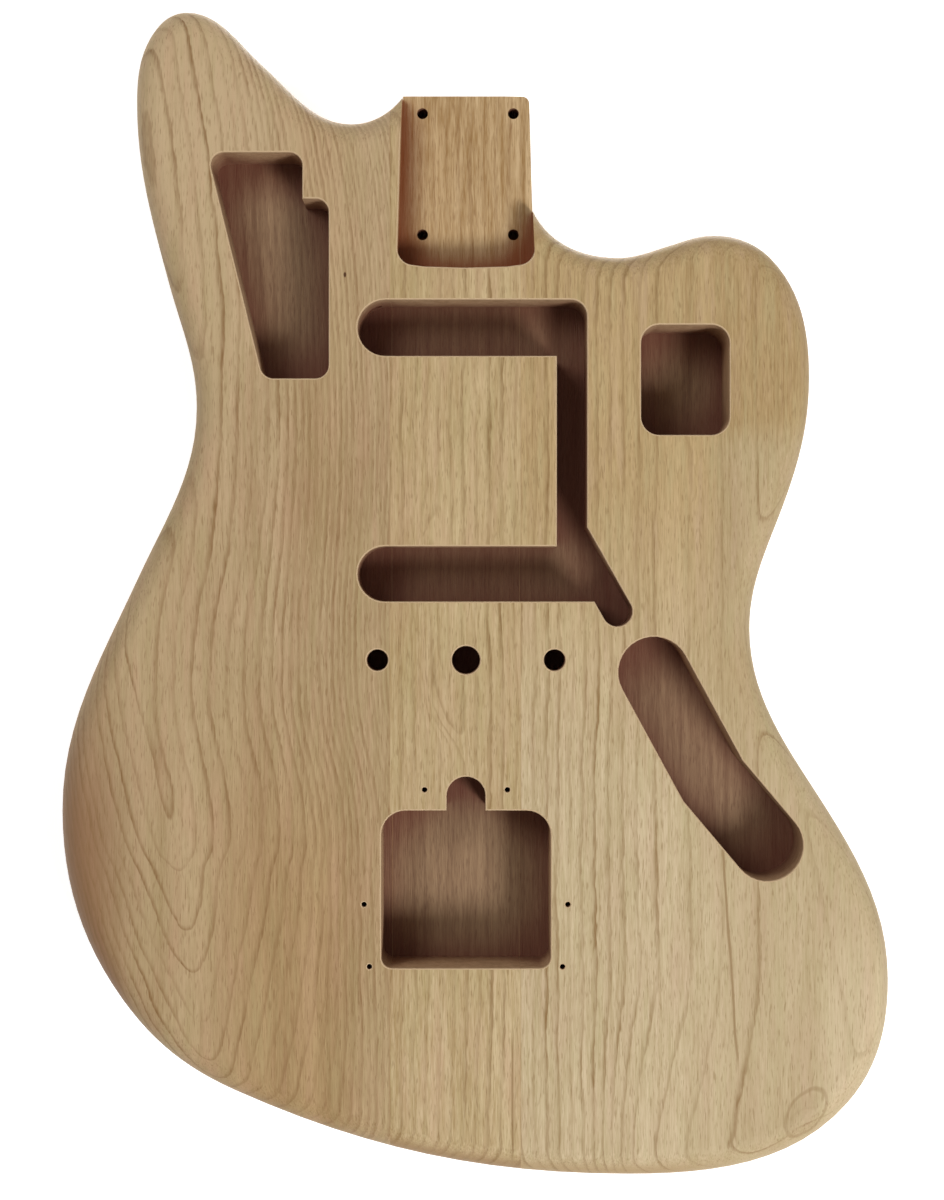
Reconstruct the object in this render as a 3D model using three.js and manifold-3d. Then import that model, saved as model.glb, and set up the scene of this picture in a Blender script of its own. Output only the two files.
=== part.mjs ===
// Electric guitar body with an offset waist, bare wood, nothing fitted to it.
// Three boards are glued edge to edge, cut to the outline, rounded over, contoured for the arm and the
// belly, and routed for the neck, two pickups, a bridge, a floating tremolo and three control plates.
// Millimetres. The body lies on its back: +X is the treble side, +Y the neck end, +Z out of the front.
// The origin is on the back face, under the middle of the bridge line.

import * as THREE from "three";
import { mergeVertices } from "three/addons/utils/BufferGeometryUtils.js";
import Module from "manifold-3d";

const wasm = await Module();
wasm.setup();

// Blank
const bodyWidth = 346;
const bodyLength = 484.5;
const bodyThickness = 44.5;
const edgeRadius = 12;

// Boards and the glue between them
const bassJointToScrew = 10.95;
const trebleJointToScrew = 0.45;
const glueThickness = 0.125;

// Arm contour on the front: a large arc that leaves the face along a straight crest
const armArcRadius = 150;
const armReach = 100;
const armCrestShares = [
  [-0.366, 0.165],
  [-0.321, -0.43],
];

// Belly contour on the back: a large drum, tilted so that it cuts deepest at the edge
const bellyDrumRadius = 300;
const bellyHalfSpan = 130;
const bellyRun = 130;
const bellyTilt = THREE.MathUtils.degToRad(15);
const bellyCrestShare = [-0.225, 0.145];

// Neck pocket and the heel tab that carries it
const neckEndShare = 0.487;
const pocketLength = 71.8;
const pocketDepth = 16;
const pocketHeelWidth = 57;
const pocketEndWidth = 53;
const pocketCornerRadius = 6.5;
const pocketEndBulge = 2;
const bulgeShares = [-0.5, 0, 0.5];
const bulgeReachShare = 0.6;
const tabCornerRadius = 3;
const tabBackRadius = 2.5;
const tabRoot = 14;
const neckScrewSpreadX = 38.1;
const neckScrewSpreadY = 50.8;
const neckScrewFromEnd = 7.2;
const neckScrewShift = 0.8;
const neckScrewHole = 4.6;

// Pickup routes: the two slots, the wire channel that joins them and its slanted tail
const pickupFloor = 16.5;
const neckPickupWidth = 94.8;
const neckPickupHeight = 23.2;
const neckPickupFromBridge = 137.3;
const bridgePickupHeight = 22.8;
const bridgePickupFromBridge = 35.6;
const pickupLeft = 44.8;
const channelWidth = 12.4;
const channelCornerRadius = 6.8;
const tailSlotLength = 38;
const tailSlotAngle = THREE.MathUtils.degToRad(-60.5);

// Switch plate route on the lower horn
const switchRouteWidth = 36.5;
const switchRouteHeight = 45.5;
const switchRouteRadius = 7.5;
const switchRouteFloor = 9.5;
const switchRouteShare = [0.262, 0.239];

// Upper control route on the bass horn: wide at the horn, stepped, narrow at its foot
const upperRouteHeight = 93.4;
const upperRouteTopWidth = 50.1;
const upperRouteFootWidth = 27.2;
const upperRouteStepWidth = 10.9;
const upperRouteStepHeight = 19.1;
const upperRouteRadius = 5.5;
const upperRouteFloor = 15;
const upperRouteShare = [-0.164, 0.433];

// Lower control route: a wide bent slot along the treble waist
const controlRouteWidth = 29.4;
const controlRouteFloor = 11.5;
const controlRouteShares = [
  [0.2245, -0.0105],
  [0.295, -0.103],
  [0.36, -0.158],
];

// Bridge posts and the mute plunger between them
const postSpread = 73.2;
const postHole = 8.8;
const postDepth = 30;
const muteHole = 11.6;
const muteDepth = 26;

// Tremolo route with its spring tab, and the pilot holes of its plate
const tremoloWidth = 70;
const tremoloHeight = 65.1;
const tremoloFromBridge = 62.2;
const tremoloTopRadius = 10;
const tremoloFootRadius = 4.5;
const tremoloTabWidth = 16;
const tremoloTabHeight = 14;
const tremoloFloor = 9.5;
const pilotHole = 2.2;
const pilotDepth = 14;
const pilotTopSpread = 34.2;
const pilotTopRise = 8.6;
const pilotMiddleSpread = 84.2;
const pilotMiddleDrop = 38.8;
const pilotFootSpread = 79.8;
const pilotFootDrop = 64.5;

// Wire bores between the routes
const wireBore = 7;
const wireBoreRise = 6;
const groundBore = 4;

// Facets
const turnStep = THREE.MathUtils.degToRad(6);
const arcStep = THREE.MathUtils.degToRad(18);
const filletStep = THREE.MathUtils.degToRad(22.5);
const holeSides = 20;
const longestFacet = 16;
const armFacets = 12;
const bellyFacets = 14;

// A half-round end is two corners, each of nearly half the slot's width
const slotEndShare = 0.999;

// Cutters reach this far past what they cut, and edge cutters start this little outside it
const overrun = 5;
const lift = 0.05;

// A rounding takes at most this share of the tightest bend near it, and eases away from there
const tightBendShare = 0.9;
const easeAwayShare = 0.5;

const onBody = ([xShare, yShare]) => new THREE.Vector2(xShare * bodyWidth, yShare * bodyLength);
const heading = (angle) => new THREE.Vector2(Math.cos(angle), Math.sin(angle));

const neckEnd = neckEndShare * bodyLength;
const pocketHeel = neckEnd - pocketLength;
const pocketFloor = bodyThickness - pocketDepth;
const neckScrewX = [-neckScrewSpreadX / 2, neckScrewSpreadX / 2].map((x) => x + neckScrewShift);
const bassJoint = neckScrewX[0] - neckScrewHole / 2 - bassJointToScrew;
const trebleJoint = neckScrewX[1] + neckScrewHole / 2 + trebleJointToScrew;

// Outline: places as shares of the width and the length, with the edge's heading there in degrees,
// clockwise from the top of the bass horn. Between two places the edge is one smooth curve, which
// leaves and reaches them along their headings for the same share of the straight way between them.
const outlineReachShare = 0.36;
const hornCornerDropShare = 0.003;
const outlineShares = [
  [-0.336, 0.557, 0],
  [-0.246, 0.512, -42],
  [-0.138, 0.461, 0],
  [-0.0765, neckEndShare - hornCornerDropShare, 52],
  [-0.022, 0.515, 0],
  [0.0845, 0.381, -60],
  [0.183, 0.346, 0],
  [0.244, 0.356, 17],
  [0.299, 0.365, 0],
  [0.368, 0.345, -46],
  [0.414, 0.243, -90],
  [0.378, 0.124, -111],
  [0.342, 0.027, -90],
  [0.413, -0.104, -57],
  [0.509, -0.275, -90],
  [0.461, -0.381, -131],
  [0.196, -0.443, -180],
  [-0.278, -0.371, -204],
  [-0.415, -0.294, -233],
  [-0.491, -0.132, -270],
  [-0.396, 0.07, -295],
  [-0.325, 0.217, -270],
  [-0.359, 0.325, -255],
  [-0.397, 0.479, -270],
  [-0.373, 0.543, -308],
];

function outlineStretch(from, to) {
  const start = onBody(from);
  const end = onBody(to);
  const reach = start.distanceTo(end) * outlineReachShare;
  const startHeading = THREE.MathUtils.degToRad(from[2]);
  const endHeading = THREE.MathUtils.degToRad(to[2]);
  const leave = start.clone().addScaledVector(heading(startHeading), reach);
  const arrive = end.clone().addScaledVector(heading(endHeading), -reach);
  const curve = new THREE.CubicBezierCurve(start, leave, arrive, end);
  const turn = Math.abs(Math.atan2(Math.sin(endHeading - startHeading), Math.cos(endHeading - startHeading)));
  const steps = Math.ceil(Math.max(turn / turnStep, curve.getLength() / longestFacet));
  return curve.getPoints(steps).slice(1);
}

// Counterclockwise points of the whole edge
function bodyOutline() {
  const clockwise = outlineShares.flatMap((place, index) => {
    const next = outlineShares[(index + 1) % outlineShares.length];
    return outlineStretch(place, next);
  });
  return clockwise.reverse();
}

// The way out of the edge at each point, and the largest rounding that the edge's bends leave room for
function edgeFrames(outline) {
  const frames = outline.map((point, index) => {
    const edgeIn = point.clone().sub(outline.at(index - 1));
    const edgeOut = outline[(index + 1) % outline.length].clone().sub(point);
    const along = edgeIn.clone().normalize().add(edgeOut.clone().normalize()).normalize();
    const turn = Math.atan2(edgeIn.cross(edgeOut), edgeIn.dot(edgeOut));
    const bend = turn > 0 ? Math.min(edgeIn.length(), edgeOut.length()) / turn : Infinity;
    return { point, outward: new THREE.Vector2(along.y, -along.x), bend };
  });
  const roomAt = (place) => {
    const rooms = frames.map(({ point, bend }) => bend * tightBendShare + point.distanceTo(place) * easeAwayShare);
    return Math.min(...rooms);
  };
  return frames.map(({ point, outward }) => ({ point, outward, room: roomAt(point) }));
}

// Closed solids

function solidOf(geometry) {
  const bare = geometry.clone();
  bare.deleteAttribute("normal");
  bare.deleteAttribute("uv");
  const merged = mergeVertices(bare);
  const mesh = new wasm.Mesh({
    numProp: 3,
    vertProperties: merged.attributes.position.array,
    triVerts: new Uint32Array(merged.index.array),
  });
  return new wasm.Manifold(mesh);
}

// Loops of points joined one to the next. Each runs counterclockwise seen from the last loop's end,
// and the flat outlines say how the first and the last are filled.
function loftedSolid(loops, firstFlat, lastFlat) {
  const count = loops[0].length;
  const faces = [];
  loops.slice(1).forEach((loop, index) => {
    const lower = index * count;
    const upper = lower + count;
    loop.forEach((point, corner) => {
      const next = (corner + 1) % count;
      faces.push(lower + corner, lower + next, upper + next);
      faces.push(lower + corner, upper + next, upper + corner);
    });
  });
  const last = (loops.length - 1) * count;
  THREE.ShapeUtils.triangulateShape(firstFlat, []).forEach(([a, b, c]) => faces.push(c, b, a));
  THREE.ShapeUtils.triangulateShape(lastFlat, []).forEach(([a, b, c]) => faces.push(last + a, last + b, last + c));
  const geometry = new THREE.BufferGeometry().setFromPoints(loops.flat());
  geometry.setIndex(faces);
  return solidOf(geometry);
}

function arcAngles() {
  const steps = Math.round(Math.PI / 2 / arcStep);
  return Array.from({ length: steps + 1 }, (_, step) => (step * Math.PI) / 2 / steps);
}

// An outline given a thickness, with its back and front edges rounded over
function roundedSlab(outline, height, backRadius, frontRadius) {
  const frames = edgeFrames(outline);
  const ring = (radius, insetShare, level) =>
    frames.map(({ point, outward, room }) => {
      const fitted = Math.min(radius, room);
      const place = point.clone().addScaledVector(outward, -fitted * insetShare);
      return new THREE.Vector3(place.x, place.y, level(fitted));
    });
  const back = arcAngles().map((angle) =>
    ring(backRadius, 1 - Math.sin(angle), (radius) => radius * (1 - Math.cos(angle))),
  );
  const front = arcAngles().map((angle) =>
    ring(frontRadius, 1 - Math.cos(angle), (radius) => height - radius * (1 - Math.sin(angle))),
  );
  const loops = frontRadius > 0 ? [...back, ...front] : [...back, front[0]];
  return loftedSolid(loops, loops[0], loops.at(-1));
}

function plate(points, floor, top) {
  const geometry = new THREE.ExtrudeGeometry(new THREE.Shape(points), {
    depth: top - floor,
    bevelEnabled: false,
  });
  return solidOf(geometry.translate(0, 0, floor));
}

function block(low, high) {
  const size = high.clone().sub(low);
  const middle = low.clone().add(high).divideScalar(2);
  return solidOf(new THREE.BoxGeometry(size.x, size.y, size.z).translate(middle.x, middle.y, middle.z));
}

function drilledHole(place, diameter, floor, top) {
  const radius = diameter / 2;
  const geometry = new THREE.CylinderGeometry(radius, radius, top - floor, holeSides);
  geometry.rotateX(Math.PI / 2);
  return solidOf(geometry.translate(place.x, place.y, (floor + top) / 2));
}

function boreBetween(from, to, diameter, level) {
  const radius = diameter / 2;
  const span = to.clone().sub(from);
  const middle = from.clone().add(to).divideScalar(2);
  const geometry = new THREE.CylinderGeometry(radius, radius, span.length(), holeSides);
  geometry.rotateZ(span.angle() - Math.PI / 2);
  return solidOf(geometry.translate(middle.x, middle.y, level));
}

// A polygon with an arc at each corner that has a radius
function filletedOutline(corners) {
  return corners.flatMap(({ place, radius }, index) => {
    if (!radius) return [place];
    const before = corners.at(index - 1).place;
    const after = corners[(index + 1) % corners.length].place;
    const back = before.clone().sub(place).normalize();
    const onward = after.clone().sub(place).normalize();
    const halfAngle = Math.acos(THREE.MathUtils.clamp(back.dot(onward), -1, 1)) / 2;
    const centre = back.clone().add(onward).setLength(radius / Math.sin(halfAngle)).add(place);
    const start = place.clone().addScaledVector(back, radius / Math.tan(halfAngle)).sub(centre).angle();
    const turn = Math.PI - 2 * halfAngle;
    const side = Math.sign(onward.cross(back));
    const steps = Math.ceil(turn / filletStep);
    return Array.from({ length: steps + 1 }, (_, step) =>
      centre.clone().addScaledVector(heading(start + (side * turn * step) / steps), radius),
    );
  });
}

const corner = (x, y, radius = 0) => ({ place: new THREE.Vector2(x, y), radius });

// A slot of one width along a bent line, round at both ends
function slotOutline(line, width) {
  const radius = width / 2;
  const runs = line.slice(1).map((point, index) => {
    const along = point.clone().sub(line[index]).normalize();
    return { along, left: new THREE.Vector2(-along.y, along.x).multiplyScalar(radius) };
  });
  const offset = (sign) => [
    line[0].clone().addScaledVector(runs[0].left, sign).addScaledVector(runs[0].along, -radius),
    ...line.slice(1, -1).map((point, index) => {
      const meet = runs[index].left.clone().add(runs[index + 1].left).normalize();
      const reach = radius / meet.dot(runs[index].left.clone().normalize());
      return point.clone().addScaledVector(meet, sign * reach);
    }),
    line.at(-1).clone().addScaledVector(runs.at(-1).left, sign).addScaledVector(runs.at(-1).along, radius),
  ];
  const right = offset(-1);
  const left = offset(1).reverse();
  const rounded = (points) =>
    points.map((place, index) => ({
      place,
      radius: index === 0 || index === points.length - 1 ? radius * slotEndShare : 0,
    }));
  return filletedOutline([...rounded(right), ...rounded(left)]);
}

// Contours

const armCrest = armCrestShares.map(onBody);
const armAlong = armCrest[1].clone().sub(armCrest[0]).normalize();
const armOutward = new THREE.Vector2(armAlong.y, -armAlong.x);
const bellyCrest = onBody(bellyCrestShare);

const arcDrop = (distance, radius) => radius - Math.sqrt(radius ** 2 - Math.min(distance, radius) ** 2);

// How far the arm contour lies below the front face
function armDepth(point) {
  const fromCrest = point.clone().sub(armCrest[0]);
  const along = fromCrest.dot(armAlong);
  const beyond = fromCrest.dot(armOutward);
  if (beyond <= 0 || along < 0 || along > armCrest[0].distanceTo(armCrest[1])) return 0;
  return arcDrop(beyond, armArcRadius);
}

// How far the belly contour lies above the back face, less than nothing where it misses the body
function bellyDepth(point) {
  const side = Math.abs(point.y - bellyCrest.y);
  const climb = (bellyCrest.x - point.x) * Math.tan(bellyTilt);
  return climb - arcDrop(side, bellyDrumRadius) / Math.cos(bellyTilt);
}

const standSection = (point, outward, section) =>
  section.map(({ x, y }) => new THREE.Vector3(point.x - outward.x * x, point.y - outward.y * x, y));

// Cuts the arm contour's face: the section is its arc, with all that lies above it
function armCutter() {
  const top = bodyThickness + overrun;
  const arc = Array.from({ length: armFacets + 1 }, (_, step) => {
    const beyond = armReach * (1 - step / armFacets);
    return new THREE.Vector2(-beyond, bodyThickness - arcDrop(beyond, armArcRadius));
  });
  const section = [...arc, new THREE.Vector2(0, top), new THREE.Vector2(-armReach, top)];
  const loops = armCrest.map((point) => standSection(point, armOutward, section));
  return loftedSolid(loops, section, section);
}

// Cuts the belly contour's face with the tilted drum
function bellyCutter() {
  const along = new THREE.Vector3(-Math.cos(bellyTilt), 0, Math.sin(bellyTilt));
  const rise = new THREE.Vector3(Math.sin(bellyTilt), 0, Math.cos(bellyTilt));
  const half = Math.asin(bellyHalfSpan / bellyDrumRadius);
  const arc = Array.from({ length: bellyFacets + 1 }, (_, step) => {
    const angle = half * ((2 * step) / bellyFacets - 1);
    return new THREE.Vector2(bellyDrumRadius * Math.sin(angle), bellyDrumRadius * (Math.cos(angle) - 1));
  });
  const deep = arc[0].y - overrun;
  const section = [...arc, new THREE.Vector2(bellyHalfSpan, deep), new THREE.Vector2(-bellyHalfSpan, deep)];
  const loops = [-bellyRun / 2, bellyRun].map((run) =>
    section.map(({ x, y }) =>
      new THREE.Vector3(bellyCrest.x, bellyCrest.y + x, 0).addScaledVector(along, run).addScaledVector(rise, y),
    ),
  );
  const flat = section.map(({ x, y }) => new THREE.Vector2(-x, y));
  return loftedSolid(loops, flat, flat);
}

// Rounds the edge over again where a contour has cut it away. Side is 1 for the front and -1 for the back.
function contourEdgeCutter(frames, depthAt, side) {
  const face = side > 0 ? bodyThickness : 0;
  const cut = frames.map(({ point }) => depthAt(point) > 0);
  const first = cut.indexOf(true) - 1;
  const last = cut.lastIndexOf(true) + 1;
  const sections = frames.slice(first, last + 1).map(({ point, outward, room }) => {
    const radius = Math.min(edgeRadius, room);
    const inside = point.clone().addScaledVector(outward, -radius);
    const nearer = point.clone().addScaledVector(outward, -radius + lift);
    const depth = depthAt(inside);
    const slope = Math.atan2(depthAt(nearer) - depth, lift);
    const centre = side * face - depth - radius / Math.cos(slope) + lift;
    const arc = arcAngles().map((angle) => {
      const bent = angle * (1 - slope / (Math.PI / 2));
      return new THREE.Vector2(radius * (1 - Math.cos(bent)) - lift, centre + radius * Math.sin(bent));
    });
    const top = Math.max(side * face, arc.at(-1).y) + overrun;
    const outer = [
      new THREE.Vector2(arc.at(-1).x, top),
      new THREE.Vector2(-overrun, top),
      new THREE.Vector2(-overrun, centre),
    ];
    const section = [...arc, ...outer].map(({ x, y }) => new THREE.Vector2(x, side * y));
    return side > 0 ? section : section.reverse();
  });
  const loops = sections.map((section, index) => {
    const { point, outward } = frames[first + index];
    return standSection(point, outward, section);
  });
  return loftedSolid(loops, sections[0], sections.at(-1));
}

// Rounded and contoured blank, open at the neck end
function blank() {
  const frames = edgeFrames(bodyOutline());
  const aboveTab = block(
    new THREE.Vector3(-pocketHeelWidth / 2 - overrun, neckEnd, -overrun),
    new THREE.Vector3(pocketHeelWidth, bodyLength, bodyThickness + overrun),
  );
  return roundedSlab(bodyOutline(), bodyThickness, edgeRadius, edgeRadius)
    .subtract(armCutter())
    .subtract(contourEdgeCutter(frames, armDepth, 1))
    .subtract(bellyCutter())
    .subtract(contourEdgeCutter(frames, bellyDepth, -1))
    .subtract(aboveTab);
}

// Half the pocket's width at a distance from its heel end
const pocketHalfAt = (distance) =>
  THREE.MathUtils.lerp(pocketHeelWidth, pocketEndWidth, distance / pocketLength) / 2;

function heelTab() {
  const root = pocketHeel - tabRoot;
  const rootHalf = pocketHalfAt(-tabRoot);
  const endHalf = pocketHalfAt(pocketLength);
  const outline = filletedOutline([
    corner(-rootHalf, root),
    corner(rootHalf, root),
    corner(endHalf, neckEnd, tabCornerRadius),
    corner(-endHalf, neckEnd),
  ]);
  return roundedSlab(outline, pocketFloor, tabBackRadius, 0);
}

// Routes and holes

function neckPocket() {
  const heelHalf = pocketHalfAt(0);
  const endHalf = pocketHalfAt(pocketLength + overrun);
  const bulge = bulgeShares.map((share) =>
    corner(share * pocketHeelWidth * bulgeReachShare, pocketHeel - pocketEndBulge * (1 - share ** 2)),
  );
  const outline = filletedOutline([
    corner(-heelHalf, pocketHeel, pocketCornerRadius),
    ...bulge,
    corner(heelHalf, pocketHeel, pocketCornerRadius),
    corner(endHalf, neckEnd + overrun),
    corner(-endHalf, neckEnd + overrun),
  ]);
  return plate(outline, pocketFloor, bodyThickness + overrun);
}

const throughTop = bodyThickness + overrun;

function neckScrewHoles() {
  const top = neckEnd - neckScrewFromEnd;
  const rows = [top, top - neckScrewSpreadY];
  return rows.flatMap((y) =>
    neckScrewX.map((x) => drilledHole(new THREE.Vector2(x, y), neckScrewHole, -overrun, throughTop)),
  );
}

const channelRight = neckPickupWidth - pickupLeft;
const channelLeft = channelRight - channelWidth;

// A slot from the bass side, round at its left end
function pickupSlot(middle, height, right, cornerRadius) {
  const endRadius = (height / 2) * slotEndShare;
  return filletedOutline([
    corner(-pickupLeft, middle - height / 2, endRadius),
    corner(right, middle - height / 2),
    corner(right, middle + height / 2, cornerRadius),
    corner(-pickupLeft, middle + height / 2, endRadius),
  ]);
}

const tailSlotStart = new THREE.Vector2(
  channelRight - channelWidth / 2,
  bridgePickupFromBridge + bridgePickupHeight / 2 + channelWidth / 2,
);
const tailSlotEnd = tailSlotStart.clone().addScaledVector(heading(tailSlotAngle), tailSlotLength);

// Where the tail slot's inner wall crosses the bridge slot's foot
function bridgeSlotRight() {
  const foot = bridgePickupFromBridge - bridgePickupHeight / 2;
  const inner = heading(tailSlotAngle - Math.PI / 2).multiplyScalar(channelWidth / 2).add(tailSlotStart);
  return inner.x + (foot - inner.y) / Math.tan(tailSlotAngle);
}

function pickupRoutes() {
  const neckFoot = neckPickupFromBridge - neckPickupHeight / 2;
  const channel = [
    corner(channelLeft, bridgePickupFromBridge),
    corner(channelRight, bridgePickupFromBridge),
    corner(channelRight, neckFoot + channelWidth),
    corner(channelLeft, neckFoot + channelWidth),
  ];
  const outlines = [
    pickupSlot(neckPickupFromBridge, neckPickupHeight, channelRight, channelCornerRadius),
    pickupSlot(bridgePickupFromBridge, bridgePickupHeight, bridgeSlotRight(), 0),
    filletedOutline(channel),
    slotOutline([tailSlotStart, tailSlotEnd], channelWidth),
  ];
  return outlines.map((outline) => plate(outline, pickupFloor, throughTop));
}

const switchMiddle = onBody(switchRouteShare);

function switchRoute() {
  const halfWidth = switchRouteWidth / 2;
  const halfHeight = switchRouteHeight / 2;
  const outline = filletedOutline([
    corner(switchMiddle.x - halfWidth, switchMiddle.y - halfHeight, switchRouteRadius),
    corner(switchMiddle.x + halfWidth, switchMiddle.y - halfHeight, switchRouteRadius),
    corner(switchMiddle.x + halfWidth, switchMiddle.y + halfHeight, switchRouteRadius),
    corner(switchMiddle.x - halfWidth, switchMiddle.y + halfHeight, switchRouteRadius),
  ]);
  return plate(outline, switchRouteFloor, throughTop);
}

const upperRight = onBody(upperRouteShare).x;
const upperTop = onBody(upperRouteShare).y;
const upperStepY = upperTop - upperRouteStepHeight;

function upperRoute() {
  const foot = upperTop - upperRouteHeight;
  const outline = filletedOutline([
    corner(upperRight - upperRouteFootWidth, foot, upperRouteRadius),
    corner(upperRight, foot, upperRouteRadius),
    corner(upperRight, upperStepY, upperRouteRadius),
    corner(upperRight - upperRouteStepWidth, upperStepY),
    corner(upperRight - upperRouteStepWidth, upperTop, upperRouteRadius),
    corner(upperRight - upperRouteTopWidth, upperTop, upperRouteRadius),
  ]);
  return plate(outline, upperRouteFloor, throughTop);
}

const controlLine = controlRouteShares.map(onBody);

function controlRoute() {
  return plate(slotOutline(controlLine, controlRouteWidth), controlRouteFloor, throughTop);
}

function bridgeHoles() {
  const posts = [-postSpread / 2, postSpread / 2];
  const middle = new THREE.Vector2(0, 0);
  return [
    ...posts.map((x) => drilledHole(new THREE.Vector2(x, 0), postHole, bodyThickness - postDepth, throughTop)),
    drilledHole(middle, muteHole, bodyThickness - muteDepth, throughTop),
  ];
}

const tremoloTop = -tremoloFromBridge;
const tremoloFoot = tremoloTop - tremoloHeight;

function tremoloRoute() {
  const half = tremoloWidth / 2;
  const tabHalf = tremoloTabWidth / 2;
  const outline = filletedOutline([
    corner(-half, tremoloFoot, tremoloFootRadius),
    corner(half, tremoloFoot, tremoloFootRadius),
    corner(half, tremoloTop, tremoloTopRadius),
    corner(tabHalf, tremoloTop),
    corner(tabHalf, tremoloTop + tremoloTabHeight, tabHalf * slotEndShare),
    corner(-tabHalf, tremoloTop + tremoloTabHeight, tabHalf * slotEndShare),
    corner(-tabHalf, tremoloTop),
    corner(-half, tremoloTop, tremoloTopRadius),
  ]);
  return plate(outline, tremoloFloor, throughTop);
}

function pilotHoles() {
  const rows = [
    [pilotTopSpread, tremoloTop + pilotTopRise],
    [pilotMiddleSpread, tremoloTop - pilotMiddleDrop],
    [pilotFootSpread, tremoloTop - pilotFootDrop],
  ];
  const floor = bodyThickness - pilotDepth;
  return rows.flatMap(([spread, y]) =>
    [-spread / 2, spread / 2].map((x) => drilledHole(new THREE.Vector2(x, y), pilotHole, floor, throughTop)),
  );
}

// Bores start and end inside the routes that they join
function wireBores() {
  const level = pickupFloor + wireBoreRise;
  const upperStep = new THREE.Vector2(upperRight - wireBore / 2, upperStepY - wireBore / 2);
  const neckSlotEnd = new THREE.Vector2(-pickupLeft + neckPickupHeight / 2, neckPickupFromBridge);
  const channelSide = new THREE.Vector2(channelRight - channelWidth / 2, switchMiddle.y);
  return [
    boreBetween(upperStep, neckSlotEnd, wireBore, level),
    boreBetween(channelSide, switchMiddle, wireBore, level),
    boreBetween(tailSlotEnd, controlLine[0], wireBore, level),
    boreBetween(controlLine[1], new THREE.Vector2(0, (tremoloTop + tremoloFoot) / 2), groundBore, level),
  ];
}

function routedBody() {
  const cuts = [
    neckPocket(),
    ...neckScrewHoles(),
    ...pickupRoutes(),
    switchRoute(),
    upperRoute(),
    controlRoute(),
    ...bridgeHoles(),
    tremoloRoute(),
    ...pilotHoles(),
    ...wireBores(),
  ];
  return cuts.reduce((body, cut) => body.subtract(cut), blank().add(heelTab()));
}

// Boards: the body between two planes across its width

const woods = {
  bass_board: new THREE.MeshStandardMaterial({ color: 0xbd9f76, roughness: 0.62, metalness: 0 }),
  centre_board: new THREE.MeshStandardMaterial({ color: 0xc9b083, roughness: 0.62, metalness: 0 }),
  treble_board: new THREE.MeshStandardMaterial({ color: 0xc3aa7e, roughness: 0.62, metalness: 0 }),
  bass_glue_line: new THREE.MeshStandardMaterial({ color: 0x9a7c50, roughness: 0.5, metalness: 0 }),
  treble_glue_line: new THREE.MeshStandardMaterial({ color: 0x9a7c50, roughness: 0.5, metalness: 0 }),
};

function meshBetween(name, body, left, right) {
  const slab = block(
    new THREE.Vector3(left, -bodyLength, -overrun),
    new THREE.Vector3(right, bodyLength, bodyThickness + overrun),
  );
  const cut = body.intersect(slab).getMesh();
  const geometry = new THREE.BufferGeometry();
  geometry.setAttribute("position", new THREE.BufferAttribute(cut.vertProperties, cut.numProp));
  geometry.setIndex(new THREE.BufferAttribute(cut.triVerts, 1));
  const flat = geometry.toNonIndexed();
  flat.computeVertexNormals();
  const mesh = new THREE.Mesh(flat, woods[name]);
  mesh.name = name;
  return mesh;
}

const body = routedBody();
const guitarBody = new THREE.Group();
guitarBody.add(
  meshBetween("bass_board", body, -bodyWidth, bassJoint),
  meshBetween("bass_glue_line", body, bassJoint, bassJoint + glueThickness),
  meshBetween("centre_board", body, bassJoint + glueThickness, trebleJoint),
  meshBetween("treble_glue_line", body, trebleJoint, trebleJoint + glueThickness),
  meshBetween("treble_board", body, trebleJoint + glueThickness, bodyWidth),
);

export default guitarBody;
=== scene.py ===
# Looks of a bare electric guitar body: three boards glued edge to edge, sanded, nothing fitted.
# Metres, in the CAD frame: +X is the treble side, +Y the neck end, +Z out of the front face.

from math import atan2, cos, pi, radians, sin, sqrt, tan

import bmesh
import bpy
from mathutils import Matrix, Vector


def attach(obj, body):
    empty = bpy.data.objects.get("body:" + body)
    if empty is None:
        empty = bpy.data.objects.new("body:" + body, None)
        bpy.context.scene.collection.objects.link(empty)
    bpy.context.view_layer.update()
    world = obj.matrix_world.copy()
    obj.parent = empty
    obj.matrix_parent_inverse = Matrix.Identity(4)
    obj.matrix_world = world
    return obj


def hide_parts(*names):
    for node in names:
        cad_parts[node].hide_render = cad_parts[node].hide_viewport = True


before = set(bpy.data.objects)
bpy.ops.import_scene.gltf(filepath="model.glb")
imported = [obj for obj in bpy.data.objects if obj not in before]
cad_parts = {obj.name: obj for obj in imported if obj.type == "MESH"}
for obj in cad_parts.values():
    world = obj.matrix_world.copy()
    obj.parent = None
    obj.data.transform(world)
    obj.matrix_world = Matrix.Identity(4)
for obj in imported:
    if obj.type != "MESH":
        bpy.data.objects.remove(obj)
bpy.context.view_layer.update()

mm = 0.001

# Blank and boards
width = 346 * mm
length = 484.5 * mm
thickness = 44.5 * mm
edge_radius = 12 * mm
edge_steps = 10
bass_joint = -31.5 * mm
treble_joint = 22.6 * mm
glue = 0.125 * mm

# Past the neck end no wood is left between the horns
neck_end = 0.487 * length
horn_gap = (-33.5 * mm, 57 * mm)

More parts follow.
